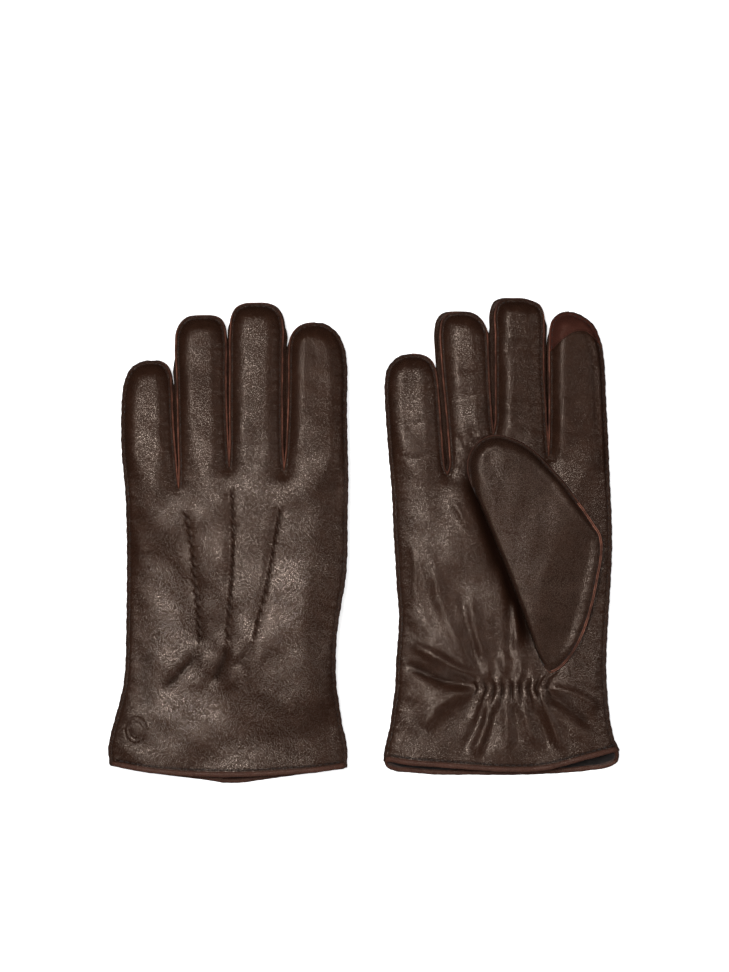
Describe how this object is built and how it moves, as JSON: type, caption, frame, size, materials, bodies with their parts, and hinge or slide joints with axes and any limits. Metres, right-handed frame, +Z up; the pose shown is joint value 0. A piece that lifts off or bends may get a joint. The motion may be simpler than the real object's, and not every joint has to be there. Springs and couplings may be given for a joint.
{
  "type": "touchscreen gloves",
  "caption": "Men's lined leather touchscreen gloves lying flat side by side, left back up and right palm up, with bending fingers, folded thumbs and open cuffs.",
  "frame": {"origin": "centre of the footprint of the pair, on the surface that they lie on", "axes": "+X across the pair, from the left-hand glove to the right-hand glove; +Y from the cuffs to the fingertips; +Z up, off the surface"},
  "size_m": [0.2706, 0.2515, 0.0232],
  "materials": {
    "leather": "satin",
    "touch_leather": "satin",
    "binding_leather": "satin",
    "lining": "matte",
    "thread": "matte",
    "elastic": "matte"
  },
  "bodies": {
    "right_hand": {"right_back_panel": "leather", "right_palm_panel": "leather", "right_hand_lining": "lining", "right_wrist_elastic": "elastic", "right_cuff_binding": "binding_leather", "right_point_stitching": "thread"},
    "right_thumb": {"right_thumb_leather": "leather", "right_thumb_lining": "lining"},
    "right_pinky_base": {"right_pinky_base_back": "leather", "right_pinky_base_palm": "leather", "right_pinky_base_fourchette": "leather"},
    "right_pinky_tip": {"right_pinky_tip_leather": "leather", "right_pinky_tip_fourchette": "leather"},
    "right_ring_base": {"right_ring_base_back": "leather", "right_ring_base_palm": "leather", "right_ring_base_fourchette": "leather"},
    "right_ring_tip": {"right_ring_tip_leather": "leather", "right_ring_tip_fourchette": "leather"},
    "right_middle_base": {"right_middle_base_back": "leather", "right_middle_base_palm": "leather", "right_middle_base_fourchette": "leather"},
    "right_middle_tip": {"right_middle_tip_leather": "leather", "right_middle_tip_fourchette": "leather"},
    "right_index_base": {"right_index_base_back": "leather", "right_index_base_palm": "leather", "right_index_base_fourchette": "leather"},
    "right_index_tip": {"right_index_tip_leather": "leather", "right_index_tip_fourchette": "leather", "right_index_touch_patch": "touch_leather"},
    "left_hand": {"left_back_panel": "leather", "left_palm_panel": "leather", "left_hand_lining": "lining", "left_wrist_elastic": "elastic", "left_cuff_binding": "binding_leather", "left_point_stitching": "thread"},
    "left_thumb": {"left_thumb_leather": "leather", "left_thumb_lining": "lining"},
    "left_pinky_base": {"left_pinky_base_back": "leather", "left_pinky_base_palm": "leather", "left_pinky_base_fourchette": "leather"},
    "left_pinky_tip": {"left_pinky_tip_leather": "leather", "left_pinky_tip_fourchette": "leather"},
    "left_ring_base": {"left_ring_base_back": "leather", "left_ring_base_palm": "leather", "left_ring_base_fourchette": "leather"},
    "left_ring_tip": {"left_ring_tip_leather": "leather", "left_ring_tip_fourchette": "leather"},
    "left_middle_base": {"left_middle_base_back": "leather", "left_middle_base_palm": "leather", "left_middle_base_fourchette": "leather"},
    "left_middle_tip": {"left_middle_tip_leather": "leather", "left_middle_tip_fourchette": "leather"},
    "left_index_base": {"left_index_base_back": "leather", "left_index_base_palm": "leather", "left_index_base_fourchette": "leather"},
    "left_index_tip": {"left_index_tip_leather": "leather", "left_index_tip_fourchette": "leather", "left_index_touch_patch": "touch_leather"}
  },
  "joints": [
    {"name": "left_glove_lift", "type": "slide", "parent": "right_hand", "child": "left_hand", "axis": [0, 0, 1], "range_m": [0, 0.15]},
    {"name": "right_pinky_knuckle", "type": "hinge", "parent": "right_hand", "child": "right_pinky_base", "pos_m": [0.02695, 0.0449, 0.0065], "axis": [1, 0, 0], "range_deg": [0, 90]},
    {"name": "right_pinky_middle", "type": "hinge", "parent": "right_pinky_base", "child": "right_pinky_tip", "pos_m": [0.02695, 0.0687, 0.0065], "axis": [1, 0, 0], "range_deg": [0, 90]},
    {"name": "right_ring_knuckle", "type": "hinge", "parent": "right_hand", "child": "right_ring_base", "pos_m": [0.05385, 0.0629, 0.0065], "axis": [1, 0, 0], "range_deg": [0, 90]},
    {"name": "right_ring_middle", "type": "hinge", "parent": "right_ring_base", "child": "right_ring_tip", "pos_m": [0.05385, 0.091, 0.0065], "axis": [1, 0, 0], "range_deg": [0, 90]},
    {"name": "right_middle_knuckle", "type": "hinge", "parent": "right_hand", "child": "right_middle_base", "pos_m": [0.08165, 0.0629, 0.0065], "axis": [1, 0, 0], "range_deg": [0, 90]},
    {"name": "right_middle_middle", "type": "hinge", "parent": "right_middle_base", "child": "right_middle_tip", "pos_m": [0.08165, 0.091, 0.0065], "axis": [1, 0, 0], "range_deg": [0, 90]},
    {"name": "right_index_knuckle", "type": "hinge", "parent": "right_hand", "child": "right_index_base", "pos_m": [0.11235, 0.0534, 0.0065], "axis": [1, 0, 0], "range_deg": [0, 90]},
    {"name": "right_index_middle", "type": "hinge", "parent": "right_index_base", "child": "right_index_tip", "pos_m": [0.11235, 0.0815, 0.0065], "axis": [1, 0, 0], "range_deg": [0, 90]},
    {"name": "right_thumb_seam", "type": "hinge", "parent": "right_hand", "child": "right_thumb", "pos_m": [0.11265, -0.0388, 0.0131], "axis": [0.3493, 0.937, 0], "range_deg": [0, 140]},
    {"name": "left_pinky_knuckle", "type": "hinge", "parent": "left_hand", "child": "left_pinky_base", "pos_m": [-0.11375, 0.0417, 0.014], "axis": [-1, 0, 0], "range_deg": [-6, 84]},
    {"name": "left_pinky_middle", "type": "hinge", "parent": "left_pinky_base", "child": "left_pinky_tip", "pos_m": [-0.11375, 0.06547, 0.0115], "axis": [-1, 0, 0], "range_deg": [0, 90]},
    {"name": "left_ring_knuckle", "type": "hinge", "parent": "left_hand", "child": "left_ring_base", "pos_m": [-0.0861, 0.0566, 0.014], "axis": [-1, 0, 0], "range_deg": [-6, 84]},
    {"name": "left_ring_middle", "type": "hinge", "parent": "left_ring_base", "child": "left_ring_tip", "pos_m": [-0.0861, 0.08445, 0.01107], "axis": [-1, 0, 0], "range_deg": [0, 90]},
    {"name": "left_middle_knuckle", "type": "hinge", "parent": "left_hand", "child": "left_middle_base", "pos_m": [-0.05745, 0.0566, 0.014], "axis": [-1, 0, 0], "range_deg": [-6, 84]},
    {"name": "left_middle_middle", "type": "hinge", "parent": "left_middle_base", "child": "left_middle_tip", "pos_m": [-0.05745, 0.08445, 0.01107], "axis": [-1, 0, 0], "range_deg": [0, 90]},
    {"name": "left_index_knuckle", "type": "hinge", "parent": "left_hand", "child": "left_index_base", "pos_m": [-0.0256, 0.0513, 0.014], "axis": [-1, 0, 0], "range_deg": [-6, 84]},
    {"name": "left_index_middle", "type": "hinge", "parent": "left_index_base", "child": "left_index_tip", "pos_m": [-0.0256, 0.07915, 0.01107], "axis": [-1, 0, 0], "range_deg": [0, 90]},
    {"name": "left_thumb_seam", "type": "hinge", "parent": "left_hand", "child": "left_thumb", "pos_m": [-0.0265, -0.0457, 0.0074], "axis": [-0.3505, -0.9366, 0], "range_deg": [0, 140]}
  ]
}
